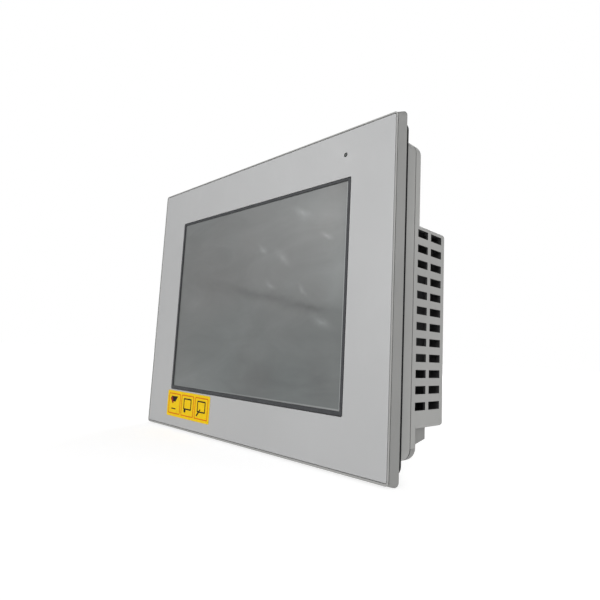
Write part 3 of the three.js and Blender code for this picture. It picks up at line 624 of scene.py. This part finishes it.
def label_artwork():
    """Three outlined cells, each with a plain abstract figure."""
    low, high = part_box("front_label")
    front = low.y - 0.035 * MM
    back = low.y - 0.003 * MM
    margin = 1.7 * MM
    gap = 1.3 * MM
    width = (high.x - low.x - 2 * margin - 2 * gap) / 3
    bottom, top = low.z + margin, high.z - margin
    cells = [(low.x + margin + i * (width + gap), bottom, top) for i in range(3)]

    def frames(bm):
        line = 0.7 * MM
        for x, z0, z1 in cells:
            outer = loop_points(x, x + width, z0, z1, 1.1 * MM)
            inner = loop_points(x + line, x + width - line, z0 + line, z1 - line, 0.7 * MM)
            ring_slab(bm, outer, inner, front, back)

    def dark_marks(bm):
        x, z0, z1 = cells[0]
        slab(bm, [(x + 3.2 * MM, z1 - 2.0 * MM), (x + 11.6 * MM, z1 - 2.0 * MM),
                  (x + 8.6 * MM, z1 - 5.6 * MM), (x + 6.0 * MM, z1 - 5.6 * MM)], front, back)
        slab(bm, [(x + 4.0 * MM, z0 + 3.1 * MM), (x + 9.4 * MM, z0 + 3.1 * MM),
                  (x + 9.4 * MM, z0 + 3.8 * MM), (x + 4.0 * MM, z0 + 3.8 * MM)], front, back)
        for i in (1, 2):
            x, z0, z1 = cells[i]
            outer = loop_points(
                x + 2.9 * MM, x + 12.1 * MM, z0 + 4.3 * MM, z1 - 2.1 * MM, 0.6 * MM)
            inner = loop_points(
                x + 3.75 * MM, x + 11.25 * MM, z0 + 5.15 * MM, z1 - 2.95 * MM, 0.3 * MM)
            ring_slab(bm, outer, inner, front, back)
        x, z0, z1 = cells[1]
        centre = (x + 4.6 * MM, z0 + 3.6 * MM)
        slab(bm, [(centre[0] + 1.2 * MM * math.cos(math.radians(a)),
                   centre[1] + 1.2 * MM * math.sin(math.radians(a))) for a in range(0, 360, 24)],
             front - 0.01 * MM, back)
        x, z0, z1 = cells[2]
        slab(bm, [(x + 1.9 * MM, z0 + 2.2 * MM), (x + 3.0 * MM, z0 + 1.7 * MM),
                  (x + 7.0 * MM, z0 + 6.0 * MM), (x + 6.2 * MM, z0 + 6.6 * MM)],
             front - 0.01 * MM, back)

    def red_marks(bm):
        x, z0, z1 = cells[0]
        slab(bm, [(x + 2.2 * MM, z1 - 3.4 * MM), (x + 4.4 * MM, z1 - 2.0 * MM),
                  (x + 6.4 * MM, z1 - 6.6 * MM), (x + 4.6 * MM, z1 - 6.8 * MM)],
             front - 0.01 * MM, back)

    piece("label_frames", frames, "orange", smooth=False)
    piece("label_marks", dark_marks, "dark_ink", smooth=False)
    piece("label_accent", red_marks, "red_ink", smooth=False)


def brick(bm, x, y, z):
    """A closed box between the given pairs of limits."""
    made = bmesh.ops.create_cube(bm, size=1.0)["verts"]
    for vert in made:
        for axis, (low, high) in enumerate((x, y, z)):
            vert.co[axis] = high if vert.co[axis] > 0 else low


def around(middle, width):
    return middle - width / 2, middle + width / 2


def soften(obj, width):
    bevel = obj.modifiers.new("round_edges", "BEVEL")
    bevel.width = width
    bevel.segments = 2
    bevel.limit_method = "ANGLE"
    smooth_flats(obj)


def network_contacts():
    low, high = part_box("network_port")
    centre = (low + high) / 2

    def build(bm):
        for i in range(8):
            x = centre.x + (i - 3.5) * 1.02 * MM
            start = len(bm.verts)
            brick(bm, around(x, 0.42 * MM), (centre.y - 4.0 * MM, centre.y - 3.7 * MM),
                  (low.z + 1.6 * MM, low.z + 13.6 * MM))
            bm.verts.ensure_lookup_table()
            for vert in bm.verts[start:]:
                if vert.co.z > low.z + 9 * MM:
                    vert.co.y += 2.2 * MM

    soften(piece("network_contacts", build, "gold"), 0.06 * MM)


def host_contacts():
    low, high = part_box("usb_host_tongue")
    centre = (low + high) / 2

    def build(bm):
        for i, offset in enumerate((-3.5, -1.0, 1.0, 3.5)):
            reach = 0.6 * MM if i in (0, 3) else 1.4 * MM
            brick(bm, around(centre.x + offset * MM, 1.05 * MM),
                  (high.y - 0.02 * MM, high.y + 0.09 * MM), (low.z + reach, high.z - 0.4 * MM))

    soften(piece("usb_host_contacts", build, "gold"), 0.03 * MM)


def serial_faces():
    """The moulded insulator in each serial port, with the nine sockets' gold mouths."""
    for number in (1, 2):
        low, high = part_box(f"serial_port_{number}")
        x, y, z = (low.x + high.x) / 2, (low.y + high.y) / 2, low.z
        outline = [(x - 7.5 * MM, y - 3.5 * MM), (x + 7.5 * MM, y - 3.5 * MM),
                   (x + 8.4 * MM, y + 3.5 * MM), (x - 8.4 * MM, y + 3.5 * MM)]
        spots = [(x + (i - (count - 1) / 2) * 2.76 * MM, y + (0.5 - row) * 2.84 * MM)
                 for row, count in ((0, 5), (1, 4)) for i in range(count)]

        def face(bm):
            rings = [[bm.verts.new((px, py, pz)) for px, py in outline]
                     for pz in (z - 0.3 * MM, z - 0.01 * MM)]
            for i in range(4):
                j = (i + 1) % 4
                bm.faces.new((rings[0][i], rings[0][j], rings[1][j], rings[1][i]))
            bm.faces.new(rings[0])
            bm.faces.new(list(reversed(rings[1])))

        def sockets(bm):
            for px, py in spots:
                sides = 16
                layers = [(0.72, -0.34), (0.45, -0.34), (0.45, -0.02), (0.72, -0.02)]
                rings = []
                for radius, depth in layers:
                    rings.append([bm.verts.new((
                        px + radius * MM * math.cos(2 * math.pi * i / sides),
                        py + radius * MM * math.sin(2 * math.pi * i / sides),
                        z + depth * MM)) for i in range(sides)])
                for k in range(4):
                    for i in range(sides):
                        j = (i + 1) % sides
                        bm.faces.new((rings[k][i], rings[k][j],
                                      rings[(k + 1) % 4][j], rings[(k + 1) % 4][i]))

        soften(piece(f"serial_insulator_{number}", face, "black"), 0.1 * MM)
        piece(f"serial_sockets_{number}", sockets, "gold")


def expansion_pins():
    low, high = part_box("expansion_connector")
    centre = (low + high) / 2

    def build(bm):
        for row in (-1, 1):
            for i in range(20):
                x = centre.x + (i - 9.5) * 2.0 * MM
                brick(bm, around(x, 0.5 * MM), (low.y + 1.25 * MM, high.y - 0.5 * MM),
                      around(centre.z + row * MM, 0.5 * MM))

    soften(piece("expansion_pins", build, "gold"), 0.08 * MM)


def power_contacts():
    """Tinned blades over the socket's cores."""
    low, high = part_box("power_socket")
    centre = (low + high) / 2

    def build(bm):
        for i in (-1, 0, 1):
            brick(bm, around(centre.x + i * 7.62 * MM, 1.2 * MM),
                  around(centre.y, 1.2 * MM), (low.z + 1.4 * MM, low.z + 8.4 * MM))

    soften(piece("power_contacts", build, "steel"), 0.12 * MM)


def rating_print():
    """Blocks, rules and a bar pattern that stand for the print on the rating label."""
    low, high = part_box("rating_label")
    y = (high.y - 0.004 * MM, high.y + 0.03 * MM)
    left, right, top, bottom = (
        low.x + 2.5 * MM, high.x - 2.5 * MM, high.z - 2.5 * MM, low.z + 2.5 * MM)

    def build(bm):
        brick(bm, (left, right), y, (top - 5.5 * MM, top))
        for i in range(7):
            z = top - (9.0 + 3.2 * i) * MM
            brick(bm, (left, right), y, around(z, 0.16 * MM))
            length = (9, 13, 7, 11, 12, 8, 10)[i] * MM
            brick(bm, (right - 1.5 * MM - length, right - 1.5 * MM), y,
                  (z + 0.8 * MM, z + 1.9 * MM))
            length = (14, 11, 15, 9, 13, 12, 8)[i] * MM
            brick(bm, (right - 24.5 * MM, right - 24.5 * MM + length * 0.5), y,
                  (z + 0.8 * MM, z + 1.9 * MM))
        x = left + 1 * MM
        for i in range(30):
            width = (0.3, 0.55, 0.3, 0.8, 0.4)[(i * 7 + i * i) % 5] * MM
            brick(bm, (x, x + width), y, (bottom + 1 * MM, bottom + 7.5 * MM))
            x += width + (0.45, 0.3, 0.6)[(i * 5) % 3] * MM

    piece("rating_print", build, "dark_ink", smooth=False)


def status_lens():
    """A shallow dome on the lamp's light guide."""
    low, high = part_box("status_lamp")
    centre = (low + high) / 2
    radius = (high.x - low.x) / 2 * 0.97
    rise = 0.28 * MM
    rings, sides = 6, 28

    def build(bm):
        tip = bm.verts.new((centre.x, low.y - rise, centre.z))
        previous = None
        for k in range(1, rings + 1):
            turn = math.radians(90 * k / rings)
            r = radius * math.sin(turn)
            y = low.y - rise * math.cos(turn)
            ring = [bm.verts.new((centre.x + r * math.cos(2 * math.pi * i / sides), y,
                                  centre.z + r * math.sin(2 * math.pi * i / sides)))
                    for i in range(sides)]
            for i in range(sides):
                j = (i + 1) % sides
                if previous is None:
                    bm.faces.new((tip, ring[i], ring[j]))
                else:
                    bm.faces.new((previous[i], ring[i], ring[j], previous[j]))
            previous = ring
        bm.faces.new(list(reversed(previous)))

    piece("status_lens", build, "lens")


# ---- stage, light and camera -----------------------------------------------------------

def floor():
    """A pale disc, brighter away from the part so that it runs into the white background."""
    bm = bmesh.new()
    bmesh.ops.create_circle(bm, cap_ends=True, segments=64, radius=6.0)
    mesh = bpy.data.meshes.new("floor")
    bm.to_mesh(mesh)
    bm.free()
    obj = bpy.data.objects.new("floor", mesh)
    obj.location.z = FLOOR_Z - 0.1 * MM
    bpy.context.scene.collection.objects.link(obj)
    s = Shader("floor_paint", (0.5, 0.5, 0.5), 0.85, Specular_IOR_Level=0.1)
    s.colour(s.mix(s.remap(s.noise(0.5), 0.3, 0.7, 0, 1), (0.49, 0.49, 0.49), (0.51, 0.51, 0.51)))
    s.set(s.surface, "Emission Color", (1.0, 1.0, 1.0, 1.0))
    away = s.node("ShaderNodeVectorMath", operation="LENGTH")
    s.set(away, 0, s.place)
    shown = s.remap(away.outputs["Value"], 0.5, 1.6, 0.72, 0.95)
    seen = s.node("ShaderNodeLightPath").outputs["Is Camera Ray"]
    s.set(s.surface, "Emission Strength", s.remap(seen, 0, 1, 0.58, shown))
    mesh.materials.append(s.material)


def world():
    """White to the camera; as light, brighter towards the horizon than overhead."""
    made = bpy.data.worlds.new("studio")
    bpy.context.scene.world = made
    made.use_nodes = True
    tree = made.node_tree
    link = tree.links.new
    place = tree.nodes.new("ShaderNodeTexCoord")
    split = tree.nodes.new("ShaderNodeSeparateXYZ")
    link(place.outputs["Generated"], split.inputs[0])
    height = tree.nodes.new("ShaderNodeMapRange")
    levels = (("From Min", 0.0), ("From Max", 0.9), ("To Min", 0.49), ("To Max", 0.21))
    for socket, value in levels:
        height.inputs[socket].default_value = value
    link(split.outputs["Z"], height.inputs["Value"])
    light = tree.nodes["Background"]
    light.inputs["Color"].default_value = (1.0, 1.0, 1.0, 1.0)
    link(height.outputs["Result"], light.inputs["Strength"])
    seen = tree.nodes.new("ShaderNodeBackground")
    seen.inputs["Color"].default_value = (1.0, 1.0, 1.0, 1.0)
    seen.inputs["Strength"].default_value = 1.0
    mix = tree.nodes.new("ShaderNodeMixShader")
    path = tree.nodes.new("ShaderNodeLightPath")
    link(path.outputs["Is Camera Ray"], mix.inputs[0])
    link(light.outputs[0], mix.inputs[1])
    link(seen.outputs[0], mix.inputs[2])
    link(mix.outputs[0], tree.nodes["World Output"].inputs["Surface"])


# name, place, target, width, height (metres), power (watts)
SOFT_BOXES = (
    ("key", (0.42, -0.62, 0.22), (0.03, 0.0, 0.0), 0.4, 0.4, 2.7),
    ("screen_glow", (-0.62, -0.85, 0.42), (0.05, 0.0, 0.03), 0.6, 0.6, 1.8),
    ("side_fill", (1.1, 0.25, 0.3), (0.0, 0.02, 0.0), 0.6, 0.8, 2.4),
    ("rear_fill", (-0.5, 1.3, 0.7), (0.0, 0.03, 0.0), 0.8, 0.8, 9.0),
)


def soft_box(name, place, target, width, height, power):
    data = bpy.data.lights.new(name, "AREA")
    data.shape = "RECTANGLE"
    data.size = width
    data.size_y = height
    data.energy = power
    obj = bpy.data.objects.new(name, data)
    obj.location = place
    aim = Vector(target) - Vector(place)
    obj.rotation_euler = aim.to_track_quat("-Z", "Y").to_euler()
    bpy.context.scene.collection.objects.link(obj)


def camera():
    """At the photograph's place: level of the lower third, turned left and tipped up."""
    data = bpy.data.cameras.new("camera")
    data.sensor_width = 36.0
    data.lens = 28.547
    data.shift_x = -0.01077
    data.shift_y = -0.01136
    data.clip_start = 0.01
    obj = bpy.data.objects.new("camera", data)
    heading = math.radians(44.736)  # turned from +Y towards -X
    rise = math.radians(7.18)
    roll = math.radians(2.828)
    turn = Matrix.Rotation(heading, 4, "Z") @ Matrix.Rotation(math.radians(90) + rise, 4, "X")
    turn = turn @ Matrix.Rotation(roll, 4, "Z")
    obj.matrix_world = Matrix.Translation((0.22507, -0.18305, -0.03008)) @ turn
    bpy.context.scene.collection.objects.link(obj)
    bpy.context.scene.camera = obj


for node_name, node_object in nodes.items():
    dress(node_name, node_object)
touch_surface()
label_artwork()
status_lens()
network_contacts()
host_contacts()
serial_faces()
expansion_pins()
power_contacts()
rating_print()
floor()
world()
for light in SOFT_BOXES:
    soft_box(*light)
camera()
bpy.context.scene.view_settings.view_transform = "Standard"
bpy.context.scene.view_settings.look = "None"
